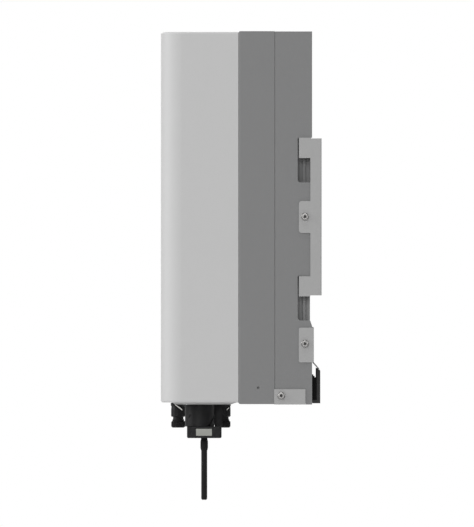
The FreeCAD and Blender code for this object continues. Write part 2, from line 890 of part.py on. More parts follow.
def both_sides(seat, y, z):
    """One screw's place on the right side, and the same place mirrored to the left."""
    return [(seat, y, z, "x"), ("-(%s)" % seat, y, z, "-x")]


def side_screws():
    """Four like screws in the bracket's and the spacer's side tabs, two shorter ones in the guard's."""
    long_screw = screw(
        "side_screw", "screw_head", "screw_head_high", "screw_shank", "bracket_sheet + 8.5", "socket_wide"
    )
    short_screw = screw(
        "guard_screw", "screw_head", "screw_head_high", "screw_shank", "thin_sheet + 2.8", "socket_wide"
    )
    tab = "body_half + thin_sheet"
    places = both_sides("bracket_half", "side_screw_y", "bracket_screw_z")
    places += both_sides(tab, "side_screw_y", "spacer_screw_z")
    label(copies("side_screws", long_screw, places), "side_screws")
    guard_places = both_sides(tab, "guard_screw_y", "guard_screw_z")
    label(copies("guard_screws", short_screw, guard_places), "guard_screws")


def ground_screw():
    master = screw("ground_master", "9", "3", "4", "6", "3")
    washer = rod("ground_washer", "-x", ("-body_half", "ground_y", "ground_z"), "11", "1")
    hole = rod("ground_washer_hole", "-x", ("-body_half + 1", "ground_y", "ground_z"), "4.2", "4")
    ring = cut("ground_ring", washer, hole)
    bolt = copies("ground_bolt", master, [("-body_half - 1.1", "ground_y", "ground_z", "-x")])
    return label(group("ground_screw", [ring, bolt]), "ground_screw")


# ---- ports under the housing -------------------------------------------------------------------


def dc_connector(name, start, end):
    """A string connector: a collar under the boss, a neck for the cap, a threaded tail inside.

    A slanted clip groove runs down each flank of the collar, from start to end along Y.
    """
    body = new_body(name)
    revolve(
        body,
        [
            ("dc_bore / 2", "9"),
            ("connector_tail / 2", "9"),
            ("connector_tail / 2", "0"),
            ("7.5", "0"),
            ("7.5", "-2.4"),
            ("6.9", "-3"),
            ("dc_collar", "-6.5"),
            ("dc_collar", "dc_collar_end"),
            ("dc_collar - 1", "dc_collar_end - 0.8"),
            ("dc_neck", "dc_collar_end - 0.8"),
            ("dc_neck", "dc_neck_end"),
            ("dc_bore / 2", "dc_neck_end"),
        ],
    )
    groove = [(start, "-0.8"), (end, "-5.8"), (end, "-7.6"), (start, "-2.6")]
    pocket(body, "x", "dc_groove_floor", "8", [groove])
    pocket(body, "x", "-8", "-dc_groove_floor", [groove])
    return body


def dc_connectors():
    front = dc_connector("dc_front", "-3.6", "4.4")
    rear = dc_connector("dc_rear", "8.2", "3.2")
    rows = [
        copies("dc_front_row", front, connector_places("port_face", ["connector_front_y"])),
        copies("dc_rear_row", rear, connector_places("port_face", ["connector_rear_y"])),
    ]
    label(group("dc_connectors", rows), "dc_connectors")
    nut = hexagon_ring("dc_nut", "15", "connector_tail + 0.1", "4")
    label(copies("dc_connector_nuts", nut, connector_places("nut_seat")), "dc_connector_nuts")
    contact = new_body("dc_contact")
    pin = "dc_bore / 2 - 0.1"
    revolve(contact, [("0", "14"), (pin, "14"), (pin, "-13"), ("1", "-14.5"), ("0", "-14.5")])
    label(copies("dc_contacts", contact, connector_places("port_face")), "dc_contacts")


def dc_caps():
    """Sealing caps that close the string connectors, with grip flutes round the rim."""
    body = new_body("dc_cap")
    revolve(
        body,
        [
            ("0", "dc_cap_top"),
            ("5.9", "dc_cap_top"),
            ("5.9", "dc_cap_top - 1.4"),
            ("7.1", "dc_cap_top - 2.4"),
            ("7.1", "dc_cap_bottom + 1.3"),
            ("5.8", "dc_cap_bottom"),
            ("0", "dc_cap_bottom"),
        ],
    )
    flute = disc("7.6", "0", "1.8")
    grip = pocket(body, "z", "dc_cap_bottom + 0.7", "dc_cap_top - 2.8", [flute])
    repeat_round(body, grip, 12)
    doc.recompute()
    label(copies("dc_caps", body, connector_places("port_face")), "dc_caps")


def port_seals():
    """A thin sealing washer under every inner nut."""
    washers = []
    spots = [(x, y, "connector_tail", "8") for x, y, _ in connector_places("0")]
    spots.append(("ac_x", "port_row_y", "22", "8"))
    spots.append(("stick_x", "stick_y", "18.2", "6"))
    for x, y, bore, wide in spots:
        outer = rod("washer", "z", (x, y, "port_inside"), "%s + %s" % (bore, wide), "washer_thick")
        hole = rod("washer_hole", "z", (x, y, "port_inside - 1"), bore + " + 0.3", "3")
        washers.append(cut("washer_ring", outer, hole))
    return label(group("port_seals", washers), "port_seals")


def rotary_switch():
    base = new_body("switch_base")
    revolve(
        base,
        [
            ("3.05", "7.4"),
            ("5", "7.4"),
            ("5", "0"),
            ("16.4", "0"),
            ("16.4", "-2"),
            ("15.4", "-3"),
            ("3.05", "-3"),
        ],
    )
    label(copies("switch_base", base, [("switch_x", "port_row_y", "port_face")]), "switch_base")
    knob = new_body("switch_knob")
    revolve(
        knob,
        [("0", "-3.3"), ("16", "-3.3"), ("16.5", "-4"), ("16.5", "-8.6"), ("15.3", "-10"), ("0", "-10")],
    )
    pad(knob, "z", "-25", "-9", [area("-14", "14", "-5", "5")])
    soften(knob, "Fillet", "4", lambda p, d, e: abs(d.z) > 0.9 and near(abs(p.x), "14") and p.z < -11)
    soften(knob, "Fillet", "1.2", lambda p, d, e: near(p.z, "-25"))
    pocket(knob, "z", "-25", "-24.2", [area("7", "13", "-0.8", "0.8")])
    pocket(knob, "z", "-19", "-3", [disc("0", "0", "6.1")])
    spot = [("switch_x", "port_row_y", "port_face")]
    label(copies("switch_knob", knob, spot), "switch_knob")
    shaft = rod("shaft_rod", "z", ("switch_x", "port_row_y", "port_face - 19"), "6", "29")
    label(shaft, "switch_shaft")
    body = block(
        "switch_block",
        ("switch_x - 21", "switch_x + 21"),
        ("port_row_y - 21", "port_row_y + 21"),
        ("port_inside + 3", "port_inside + 58"),
    )
    bore = rod("switch_bore", "z", ("switch_x", "port_row_y", "port_inside"), "6.4", "14")
    label(cut("switch_body", body, bore), "switch_body")


def ac_connector():
    spot = [("ac_x", "port_row_y", "port_face")]
    body = new_body("ac_receptacle")
    revolve(
        body,
        [
            ("0", "12"),
            ("10.9", "12"),
            ("10.9", "0"),
            ("16.2", "0"),
            ("16.2", "-2.6"),
            ("15.2", "-3.4"),
            ("13", "-3.4"),
            ("13", "-17"),
            ("11", "-17"),
            ("11", "-5"),
            ("0", "-5"),
        ],
    )
    pocket(body, "z", "-5", "12", pin_outlines("3.1"))
    label(copies("ac_receptacle", body, spot), "ac_receptacle")
    nut = hexagon_ring("ac_hexagon", "29", "22", "5")
    label(copies("ac_nut", nut, [("ac_x", "port_row_y", "nut_seat")]), "ac_nut")
    pins = [
        rod(
            "ac_pin",
            "z",
            ("ac_x + %s" % x, "port_row_y + %s" % y, "port_face - 15"),
            "3",
            "32",
        )
        for x, y, _ in pin_outlines("3")
    ]
    label(group("ac_pins", pins), "ac_pins")
    cap = new_body("ac_cap")
    revolve(
        cap,
        [
            ("13.05", "-4"),
            ("15.6", "-4"),
            ("16.2", "-4.8"),
            ("16.2", "-19.4"),
            ("14.6", "-21.4"),
            ("0", "-21.4"),
            ("0", "-17.4"),
            ("13.05", "-17.4"),
        ],
    )
    grip = pocket(cap, "z", "-18.6", "-6.4", [disc("17.2", "0", "3.4")])
    repeat_round(cap, grip, 18)
    doc.recompute()
    label(copies("ac_cap", cap, spot), "ac_cap")


def pin_outlines(diameter):
    """The grid connector's three pins."""
    return [disc("-5", "2.9", diameter), disc("5", "2.9", diameter), disc("0", "-5.8", diameter)]


def breather_vent():
    body = new_body("breather_vent")
    revolve(
        body,
        [
            ("0", "8"),
            ("5", "8"),
            ("5", "0"),
            ("7.5", "0"),
            ("7.5", "-3.6"),
            ("6.3", "-5"),
            ("0", "-5"),
        ],
    )
    slot = pocket(body, "z", "-5", "-3.8", [area("1.6", "5", "-0.7", "0.7")])
    repeat_round(body, slot, 8)
    doc.recompute()
    vent = copies("breather_vent", body, [("vent_x", "port_row_y", "port_face")])
    return label(vent, "breather_vent")


# ---- communication stick -----------------------------------------------------------------------


def comm_socket():
    spot = [("stick_x", "stick_y", "port_face")]
    body = new_body("comm_socket")
    revolve(
        body,
        [
            ("0", "10"),
            ("9", "10"),
            ("9", "0"),
            ("collar_radius", "0"),
            ("collar_radius", "-9.6"),
            ("8.2", "-9.6"),
            ("8.2", "-1"),
            ("0", "-1"),
        ],
    )
    label(copies("comm_socket", body, spot), "comm_socket")
    nut = hexagon_ring("comm_hexagon", "24", "18.2", "4")
    label(copies("comm_socket_nut", nut, [("stick_x", "stick_y", "nut_seat")]), "comm_socket_nut")


def stick_ring():
    """The locking ring: smooth, with two slanted ramps a side where the fingers turn it."""
    body = new_body("stick_ring")
    bore = "collar_radius + 0.08"
    revolve(
        body,
        [
            (bore, "-0.4"),
            ("ring_radius", "-0.4"),
            ("ring_radius", "-22.1"),
            ("ring_radius - 0.3", "-22.4"),
            (bore, "-22.4"),
        ],
    )
    long_ramp = [("14.6", "-10.4"), ("8.4", "-22.4"), ("10.2", "-22.4"), ("16.4", "-10.4")]
    short_ramp = [
        ("-9.6", "-10"),
        ("-8.4", "-10.6"),
        ("-12", "-16"),
        ("-13.6", "-22.4"),
        ("-15", "-22.4"),
        ("-13.2", "-15"),
    ]
    for low, high in (("9.6", "ring_radius"), ("-ring_radius", "-9.6")):
        pocket(body, "x", low, high, [short_ramp])
    pocket(body, "x", "3", "ring_radius", [long_ramp])
    return label(copies("stick_ring", body, [("stick_x", "stick_y", "port_face")]), "stick_ring")


def stick():
    body = new_body("stick_body")
    pad(
        body,
        "z",
        "stick_bottom + stick_lid",
        "stick_top",
        [area("stick_x - stick_half", "stick_x + stick_half", "stick_front", "stick_rear")],
    )
    soften(body, "Fillet", "edge_radius", lambda p, d, e: abs(d.z) > 0.9)
    inner = area(
        "stick_x - stick_half + stick_wall",
        "stick_x + stick_half - stick_wall",
        "stick_front + stick_wall",
        "stick_rear - stick_wall",
    )
    pocket(body, "z", "stick_bottom + stick_lid", "stick_top - stick_wall", [inner])
    pad(body, "z", "stick_top - 1", "port_face - 10", [disc("stick_x", "stick_y", "2 * collar_radius")])
    pad(body, "z", "port_face - 10.5", "port_face - 2", [disc("stick_x", "stick_y", "16")])
    spine = area("stick_x - stick_half + 1", "stick_x - 8", "spine_front", "spine_rear")
    pad(body, "z", "stick_top - 1", "port_face - 0.3", [spine])
    pocket(
        body,
        "x",
        "stick_x + stick_half - 0.5",
        "stick_x + stick_half",
        [area("label_front", "label_rear", "label_bottom", "label_top")],
    )
    label(body, "stick_body")
    plate = block(
        "stick_label",
        ("stick_x + stick_half - 0.5", "stick_x + stick_half"),
        ("label_front", "label_rear"),
        ("label_bottom", "label_top"),
    )
    label(plate, "stick_label")
    lid = new_body("stick_cover")
    pad(
        lid,
        "z",
        "stick_bottom",
        "stick_bottom + stick_lid",
        [area("stick_x - stick_half", "stick_x + stick_half", "stick_front", "stick_rear")],
    )
    soften(lid, "Fillet", "edge_radius", lambda p, d, e: abs(d.z) > 0.9)
    soften(lid, "Fillet", "stick_lid * 0.9", lambda p, d, e: near(p.z, "stick_bottom"))
    pocket(lid, "z", "stick_bottom", "stick_bottom + stick_lid", [disc("stick_x", "-129", "5.4")])
    label(lid, "stick_cover")
    button = new_body("stick_button")
    revolve(
        button,
        [("0", "2.6"), ("3.6", "2.6"), ("3.6", "1.8"), ("2.5", "1.8"), ("2.5", "0.2"), ("0", "0.2")],
    )
    spot = [("stick_x", "-129", "stick_bottom")]
    label(copies("stick_button", button, spot), "stick_button")
    board = block(
        "stick_board",
        ("stick_x - 14", "stick_x + 14"),
        ("stick_front + 3", "stick_rear - 3"),
        ("stick_top - 4.6", "stick_top - 3.4"),
    )
    label(board, "stick_board")


def antenna():
    places = [("stick_x", "antenna_y", "stick_bottom")]
    barrel = new_body("antenna_base")
    revolve(
        barrel,
        [
            ("0", "0"),
            ("3.2", "0"),
            ("3.3", "-1.4"),
            ("3.8", "-3.4"),
            ("3.8", "-9.6"),
            ("3.2", "-12.4"),
            ("0", "-12.4"),
        ],
    )
    label(copies("antenna_base", barrel, places), "antenna_base")
    whip = new_body("antenna_rod")
    tip = "antenna_tip - stick_bottom"
    revolve(
        whip,
        [
            ("0", "-12.4"),
            ("3", "-12.4"),
            ("3", tip + " + 1.2"),
            ("2.1", tip),
            ("0", tip),
        ],
    )
    label(copies("antenna_rod", whip, places), "antenna_rod")


# ---- indicator window --------------------------------------------------------------------------


def indicators():
    window = block("status_window", ("-33.8", "33.8"), WINDOW_DEPTH, ("86.2", "99.8"))
    label(window, "status_window")
    lenses = [
        rod("lens", "y", ("%d" % x, "housing_front + 1.6", "93"), "4.8", "4.4") for x in (-18, 0, 18)
    ]
    label(group("light_guide", lenses), "light_guide")
    board = block(
        "status_board",
        ("-42", "42"),
        ("housing_front + housing_wall + 5", "housing_front + housing_wall + 6.6"),
        ("84", "102"),
    )
    label(board, "status_board")


# ---- electronics -------------------------------------------------------------------------------


def boxes(name, centres, wide, depth, high):
    """Equal boxes standing on a plane square to Y, each given by its middle in X and Z."""
    solids = [
        block(
            name + "_piece",
            ("%s - %s / 2" % (x, wide), "%s + %s / 2" % (x, wide)),
            depth,
            ("%s - %s / 2" % (z, high), "%s + %s / 2" % (z, high)),
        )
        for x, z in centres
    ]
    return label(group(name, solids), name)


def power_stage():
    """What sits on the heat sink and on the power board in front of it."""
    front = "board_rear - board_thick"
    module_spots = [(x, -20) for x in (-100, 0, 100)]
    boxes("thermal_pads", module_spots, 62, ("frame_rear - 0.8", "frame_rear"), 52)
    boxes("power_modules", module_spots, 60, ("board_rear", "frame_rear - 0.8"), 50)
    board = block("power_blank", ("-158", "158"), (front, "board_rear"), ("-150", "60"))
    posts = [(x, z) for x in (-150, -50, 50, 150) for z in (-142, 52)]
    holes = [rod("board_hole", "y", (x, front + " - 1", z), "3.4", "4") for x, z in posts]
    label(cut("power_board", board, group("board_holes", holes)), "power_board")
    pillars = [rod("pillar", "y", (x, "board_rear", z), "8", "frame_rear - board_rear") for x, z in posts]
    label(group("board_posts", pillars), "board_posts")
    master = screw("board_screw", "6", "2", "3", "board_thick", "2")
    places = [(x, front, z) for x, z in posts]
    label(copies("board_screws", master, places, "-y"), "board_screws")
    cans = [
        rod("capacitor", "-y", (x, front, z), "30", "46")
        for x in (-135, -100, -65)
        for z in (-5, 30)
    ]
    label(group("dc_link_capacitors", cans), "dc_link_capacitors")
    film_spots = [(x, z) for x in (-128, -84) for z in (-50, -74)]
    boxes("film_capacitors", film_spots, 36, (front + " - 26", front), 18)
    boxes("relays", [(52, -60), (84, -60), (52, -88), (84, -88)], 28, (front + " - 22", front), 24)
    rings = []
    for x in (20, 135):
        outer = rod("sensor", "-y", (x, front, "-75"), "28", "14")
        inner = rod("sensor_bore", "-y", (x, front + " + 1", "-75"), "12", "16")
        rings.append(cut("sensor_ring", outer, inner))
    label(group("current_sensors", rings), "current_sensors")
    blocks = [
        block("string_terminals", ("-110", "0"), (front + " - 16", front), ("-138", "-118")),
        block("grid_terminals", ("55", "95"), (front + " - 16", front), ("-138", "-118")),
    ]
    label(group("terminal_blocks", blocks), "terminal_blocks")


def inductors():
    """Four potted inductors on the upper part of the heat sink: an open can and a ring-shaped coil."""
    cans = []
    coils = []
    for x in (-120, -40, 40, 120):
        middle = "%d" % x
        outer = block("can", (middle + " - 34", middle + " + 34"), ("-92", "frame_rear"), ("80", "148"))
        inner = block("can_room", (middle + " - 32", middle + " + 32"), ("-93", "-49"), ("82", "146"))
        cans.append(cut("open_can", outer, inner))
        ring = doc.addObject("Part::Torus", "coil")
        ring.Radius1 = 19
        ring.Radius2 = 12
        ring.Placement = FreeCAD.Placement(FreeCAD.Vector(x, -64, 114), TURNS["y"])
        coils.append(ring)
    label(group("inductor_cans", cans), "inductor_cans")
    label(group("inductor_coils", coils), "inductor_coils")


def control_electronics():
    front = "control_rear - board_thick"
    board = block("control_board", ("-40", "110"), (front, "control_rear"), ("-110", "40"))
    posts = [(x, z) for x in (-34, 104) for z in (-104, 34)]
    label(board, "control_board")
    length = "board_rear - board_thick - control_rear"
    pillars = [rod("long_pillar", "y", (x, "control_rear", z), "6", length) for x, z in posts]
    label(group("control_posts", pillars), "control_posts")
    chips = [
        block("chip", (x - wide, x + wide), ("%s - %s" % (front, thick), front), (z - high, z + high))
        for x, z, wide, high, thick in (
            (35, -30, 11, 11, 1.6),
            (70, -10, 7, 7, 1.4),
            (5, -60, 6, 9, 1.4),
            (80, -70, 14, 8, 8),
            (0, 10, 9, 12, 10),
        )
    ]
    label(group("control_chips", chips), "control_chips")


def lead(name, x, y, start, bend, top, end, diameter):
    """A wire that rises from a port, turns to the back and ends at a terminal block."""
    first = FreeCAD.Vector(x, y, start)
    corner_low = FreeCAD.Vector(x, y, top - bend)
    corner_high = FreeCAD.Vector(x, y + bend, top)
    middle = FreeCAD.Vector(x, y + bend * (1 - 0.5**0.5), top - bend * (1 - 0.5**0.5))
    last = FreeCAD.Vector(x, end, top)
    path = Part.Wire(
        [
            Part.LineSegment(first, corner_low).toShape(),
            Part.Arc(corner_low, middle, corner_high).toShape(),
            Part.LineSegment(corner_high, last).toShape(),
        ]
    )
    ring = Part.Wire([Part.Circle(first, FreeCAD.Vector(0, 0, 1), diameter / 2).toShape()])
    wire = doc.addObject("Part::Feature", name)
    wire.Shape = path.makePipeShell([ring], True, False)
    return wire


def leads():
    terminal = value("board_rear - board_thick") - 16
    string_leads = []
    for x, y, _ in connector_places("0"):
        row = value(y)
        top = -133.0 if y == "connector_rear_y" else -123.0
        radius = min(14.0, terminal - row - 1)
        start = value("port_face") + 14
        string_leads.append(lead("dc_lead", value(x), row, start, radius, top, terminal, 4.0))
    label(group("dc_leads", string_leads), "dc_leads")
    grid_leads = []
    for x, y, _ in pin_outlines("3"):
        across = value("ac_x + " + x)
        along = value("port_row_y + " + y)
        start = value("port_face") + 17
        grid_leads.append(lead("ac_lead", across, along, start, 14.0, -128.0, terminal, 3.0))
    label(group("ac_leads", grid_leads), "ac_leads")


# ---- write -------------------------------------------------------------------------------------


def check_and_write():
    doc.recompute()
    bad = [thing.Name for thing in doc.Objects if "Invalid" in thing.State or "Error" in thing.State]
    if bad:
        raise RuntimeError("failed objects: %s" % bad)
    for part in PARTS:
        shape = Part.getShape(part)
        if shape.isNull() or not shape.isValid() or not shape.Solids:
            raise RuntimeError("bad shape: %s" % part.Label)
    os.makedirs("parts", exist_ok=True)
    for part in PARTS:
        Part.getShape(part).exportStep("parts/%s.step" % part.Label)
    print("wrote %d sub-parts" % len(PARTS))


front_housing()
chassis_frame()
gasket("housing_gasket", "housing_rear", "housing_rear + gasket_thick")
gasket("sink_gasket", "frame_rear - gasket_thick", "frame_rear")
clamp_screws()
side_covers()
heat_sink()
sink_fins()
wall_bracket()
lower_spacer()
spacer_strip()
spacer_buffers()
bottom_guard()
side_screws()
ground_screw()
dc_connectors()
dc_caps()
rotary_switch()
ac_connector()
breather_vent()
comm_socket()
stick_ring()
stick()
antenna()
port_seals()
indicators()
power_stage()
inductors()
control_electronics()
leads()
check_and_write()
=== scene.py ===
import json
import math

import bpy
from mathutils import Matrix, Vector


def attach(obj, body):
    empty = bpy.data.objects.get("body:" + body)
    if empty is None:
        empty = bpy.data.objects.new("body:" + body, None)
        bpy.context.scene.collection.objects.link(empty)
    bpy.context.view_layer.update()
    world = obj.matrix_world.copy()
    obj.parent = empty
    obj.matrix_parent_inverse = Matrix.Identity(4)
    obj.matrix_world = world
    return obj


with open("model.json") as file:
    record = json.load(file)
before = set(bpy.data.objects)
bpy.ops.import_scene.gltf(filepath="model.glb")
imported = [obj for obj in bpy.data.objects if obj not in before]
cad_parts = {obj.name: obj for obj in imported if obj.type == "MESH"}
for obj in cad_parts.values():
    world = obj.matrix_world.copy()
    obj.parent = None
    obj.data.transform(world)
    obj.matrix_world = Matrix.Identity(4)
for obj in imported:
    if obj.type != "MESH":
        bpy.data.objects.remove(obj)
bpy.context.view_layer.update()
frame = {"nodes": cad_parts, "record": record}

MM = 0.001

# Places in millimetres, in the part's own frame.
PORT_FACE = -188.4
CONNECTOR_COLUMNS = (-92.0, -56.0, -20.0)
FRONT_ROW = -144.6
REAR_ROW = -98.7
SWITCH_AXIS = (-145.0, -119.0)
KNOB_FACE = PORT_FACE - 24.25
GROUND_MARK = (-186.0, -63.7, -158.5)
UPPER_SCREW = (187.5, -16.7, 0.25)
LOWER_SCREW = (187.2, -16.7, -127.3)
GUARD_SCREW = (187.2, -40.6, -179.6)
WINDOW_LIGHTS = (-18.0, 0.0, 18.0)
WINDOW_HIGH = 93.0
LIGHT_RADIUS = 2.4
LIGHT_SOFT_EDGE = 0.2
PRINT_THICK = 0.05


# ---- shader helpers ----------------------------------------------------------------------------


def new_material(name):
    """An empty material with a Principled shader."""
    material = bpy.data.materials.new(name)
    material.use_nodes = True
    tree = material.node_tree
    tree.nodes.clear()
    output = tree.nodes.new("ShaderNodeOutputMaterial")
    shader = tree.nodes.new("ShaderNodeBsdfPrincipled")
    tree.links.new(shader.outputs["BSDF"], output.inputs["Surface"])
    return material, tree, shader


def object_place(tree):
    """Object coordinates, which for every piece are metres in the part's own frame."""
    return tree.nodes.new("ShaderNodeTexCoord").outputs["Object"]


def noise(tree, place, scale, detail=3.0):
    """A noise field between 0 and 1. Scale counts features per metre."""
    node = tree.nodes.new("ShaderNodeTexNoise")
    node.inputs["Scale"].default_value = scale
    node.inputs["Detail"].default_value = detail
    tree.links.new(place, node.inputs["Vector"])
    return node.outputs["Fac"]


def ramp(tree, field, low, high, low_value, high_value):
    """Maps a field's range low..high to low_value..high_value."""
    node = tree.nodes.new("ShaderNodeMapRange")
    numbers = {"From Min": low, "From Max": high, "To Min": low_value, "To Max": high_value}
    for socket, number in numbers.items():
        node.inputs[socket].default_value = number
    tree.links.new(field, node.inputs["Value"])
    return node.outputs["Result"]


def mix_colours(tree, factor, first, second, mode="MIX"):
    """Mixes two colours, each a tuple or another node's output."""
    node = tree.nodes.new("ShaderNodeMix")
    node.data_type = "RGBA"
    node.blend_type = mode
    for socket, colour in (("A", first), ("B", second)):
        if isinstance(colour, tuple):
            node.inputs[socket].default_value = (*colour, 1.0)
        else:
            tree.links.new(colour, node.inputs[socket])
    if isinstance(factor, float):
        node.inputs["Factor"].default_value = factor
    else:
        tree.links.new(factor, node.inputs["Factor"])
    return node.outputs["Result"]


def bump(tree, field, distance):
    node = tree.nodes.new("ShaderNodeBump")
    node.inputs["Distance"].default_value = distance
    tree.links.new(field, node.inputs["Height"])
    return node.outputs["Normal"]


def math_node(tree, operation, first, second):
    node = tree.nodes.new("ShaderNodeMath")
    node.operation = operation
    for socket, field in zip(node.inputs, (first, second)):
        if isinstance(field, float):
            socket.default_value = field
        else:
            tree.links.new(field, socket)
    return node.outputs["Value"]


def shade(colour, factor):
    return tuple(channel * factor for channel in colour)


# ---- materials ---------------------------------------------------------------------------------


def powder_coat(name, colour, grain=900.0, rough=(0.42, 0.56), specular=0.3, texture=0.00003):
    """Powder-coated metal: orange peel, a faint drift of tone and an uneven gloss."""
    material, tree, shader = new_material(name)
    place = object_place(tree)
    drift = noise(tree, place, 9.0, 2.0)
    tone = mix_colours(tree, drift, shade(colour, 0.985), shade(colour, 1.015))
    speckle = ramp(tree, noise(tree, place, grain * 1.7, 1.0), 0.3, 0.7, 0.985, 1.01)
    tone = mix_colours(tree, 1.0, tone, speckle, "MULTIPLY")
    tree.links.new(tone, shader.inputs["Base Color"])
    gloss = ramp(tree, noise(tree, place, grain * 0.4, 2.0), 0.3, 0.7, *rough)
    tree.links.new(gloss, shader.inputs["Roughness"])
    tree.links.new(bump(tree, noise(tree, place, grain, 2.0), texture), shader.inputs["Normal"])
    shader.inputs["Specular IOR Level"].default_value = specular
    return material


def moulded(name, colour, rough=(0.4, 0.55), specular=0.2, grain=2600.0, texture=0.00002):
    """Moulded plastic or rubber: fine spark-eroded grain and a soft uneven sheen."""
    material, tree, shader = new_material(name)
    place = object_place(tree)
    tone = mix_colours(tree, noise(tree, place, 60.0), shade(colour, 0.85), shade(colour, 1.15))
    tree.links.new(tone, shader.inputs["Base Color"])
    gloss = ramp(tree, noise(tree, place, 300.0), 0.3, 0.7, *rough)
    tree.links.new(gloss, shader.inputs["Roughness"])
    tree.links.new(bump(tree, noise(tree, place, grain, 2.0), texture), shader.inputs["Normal"])
    shader.inputs["Specular IOR Level"].default_value = specular
    return material


def bright_metal(name, colour, rough=(0.2, 0.36), texture=0.00001):
    """Machined or plated metal with fine marks in its tone, gloss and surface."""
    material, tree, shader = new_material(name)
    place = object_place(tree)
    marks = noise(tree, place, 900.0, 4.0)
    tone = mix_colours(tree, marks, shade(colour, 0.86), shade(colour, 1.05))
    tree.links.new(tone, shader.inputs["Base Color"])
    tree.links.new(ramp(tree, marks, 0.3, 0.7, *rough), shader.inputs["Roughness"])
    tree.links.new(bump(tree, marks, texture), shader.inputs["Normal"])
    shader.inputs["Metallic"].default_value = 1.0
    return material


def window_film():
    """A smoked window with three indicator spots that its light guide lights from behind."""
    material = moulded("window_film", (0.012, 0.013, 0.016), (0.06, 0.12), 0.5, 900.0, 0.000004)
    tree = material.node_tree
    shader = next(node for node in tree.nodes if node.type == "BSDF_PRINCIPLED")
    split = tree.nodes.new("ShaderNodeSeparateXYZ")
    tree.links.new(object_place(tree), split.inputs["Vector"])
    glow = None
    for across in WINDOW_LIGHTS:
        side = math_node(tree, "SUBTRACT", split.outputs["X"], across * MM)
        high = math_node(tree, "SUBTRACT", split.outputs["Z"], WINDOW_HIGH * MM)
        side = math_node(tree, "MULTIPLY", side, side)
        high = math_node(tree, "MULTIPLY", high, high)
        reach = math_node(tree, "SQRT", math_node(tree, "ADD", side, high), 0.0)
        outer = (LIGHT_RADIUS + LIGHT_SOFT_EDGE) * MM
        inner = (LIGHT_RADIUS - LIGHT_SOFT_EDGE) * MM
        spot = ramp(tree, reach, outer, inner, 0.0, 1.0)
        glow = spot if glow is None else math_node(tree, "MAXIMUM", glow, spot)
    dark = shader.inputs["Base Color"].links[0].from_socket
    tree.links.new(
        mix_colours(tree, glow, dark, (0.05, 0.34, 0.12)), shader.inputs["Base Color"]
    )
    tree.links.new(
        mix_colours(tree, glow, (0.0, 0.0, 0.0), (0.02, 0.3, 0.07)), shader.inputs["Emission Color"]
    )
    shader.inputs["Emission Strength"].default_value = 1.0
    return material


MATERIALS = {
    "light_casting": powder_coat("light_casting", (0.50, 0.50, 0.50), texture=0.00002),
    "dark_casting": powder_coat("dark_casting", (0.192, 0.193, 0.194), 1200.0),
    "sink_metal": powder_coat("sink_metal", (0.24, 0.241, 0.243), 1500.0),
    "light_sheet": powder_coat("light_sheet", (0.345, 0.345, 0.344), 1100.0),
    "black_plastic": moulded("black_plastic", (0.008, 0.008, 0.0085)),
    "black_rubber": moulded("black_rubber", (0.011, 0.011, 0.011), (0.6, 0.75), 0.12),
    "screw_steel": bright_metal("screw_steel", (0.3, 0.295, 0.29), (0.3, 0.45)),
    "label_film": moulded("label_film", (0.315, 0.32, 0.295), (0.5, 0.6), 0.3),
    "window_film": window_film(),
    "clear_plastic": moulded("clear_plastic", (0.5, 0.62, 0.52), (0.1, 0.2), 0.5),
    "board_laminate": moulded("board_laminate", (0.01, 0.09, 0.035), (0.3, 0.45), 0.4),
    "contact_metal": bright_metal("contact_metal", (0.7, 0.62, 0.5)),
    "wire_jacket": moulded("wire_jacket", (0.02, 0.02, 0.02)),
    "capacitor_sleeve": moulded("capacitor_sleeve", (0.02, 0.025, 0.05), (0.25, 0.35)),
    "film_box": moulded("film_box", (0.35, 0.28, 0.06), (0.3, 0.4), 0.4),
    "pad_silicone": moulded("pad_silicone", (0.3, 0.3, 0.34), (0.7, 0.8)),
    "can_metal": bright_metal("can_metal", (0.6, 0.6, 0.61)),
    "coil_copper": bright_metal("coil_copper", (0.6, 0.28, 0.12)),
}
# Lit and shaded copies of the black rubber: the spacer strip's lighter copy paints light on its near
# face, and the buffers' near-black copy paints shade in their recess.
STRIP_RUBBER_PAINTED_LIGHT = moulded("strip_rubber_painted_light", (0.045, 0.045, 0.045), (0.6, 0.75), 0.15)
BUFFER_RUBBER_PAINTED_SHADE = moulded("buffer_rubber_painted_shade", (0.006, 0.006, 0.006), (0.6, 0.75), 0.1)
PRINT_WHITE = moulded("print_white", (0.62, 0.62, 0.6), (0.5, 0.6), 0.2)
PRINT_BLACK = moulded("print_black", (0.02, 0.02, 0.02), (0.5, 0.6), 0.2)
# Near-white strips on the connectors' flanks: a painted highlight.
HIGHLIGHT_WHITE = moulded("painted_highlight_white", (0.88, 0.87, 0.83), (0.35, 0.5), 0.4)
# A dark lining that paints the shade inside the screws' hexagon sockets.
SOCKET_PAINTED_SHADE = moulded("socket_painted_shade", (0.035, 0.034, 0.033), (0.4, 0.5), 0.4)


# The spacer's strip and buffers take these painted-light and painted-shade rubbers in place of their
# slot's material.
PAINTED_LIGHT_RUBBERS = {"spacer_strip": STRIP_RUBBER_PAINTED_LIGHT, "spacer_buffers": BUFFER_RUBBER_PAINTED_SHADE}


def dress_nodes():
    slots = {part["node"]: part["material_slot"] for part in frame["record"]["subparts"]}
    for name, node in frame["nodes"].items():
        material = PAINTED_LIGHT_RUBBERS.get(name, MATERIALS[slots[name]])
        node.data.materials.clear()
        node.data.materials.append(material)


# ---- pieces ------------------------------------------------------------------------------------


def make_piece(name, points, faces, material, body, smooth=False):
    """A mesh piece, given in millimetres, that rides on a body."""
    mesh = bpy.data.meshes.new(name)
    mesh.from_pydata([tuple(c * MM for c in point) for point in points], [], faces)
    mesh.validate()
    mesh.materials.append(material)
    for face in mesh.polygons:
        face.use_smooth = smooth
    piece = bpy.data.objects.new(name, mesh)
    bpy.context.collection.objects.link(piece)
    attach(piece, body)
    return piece


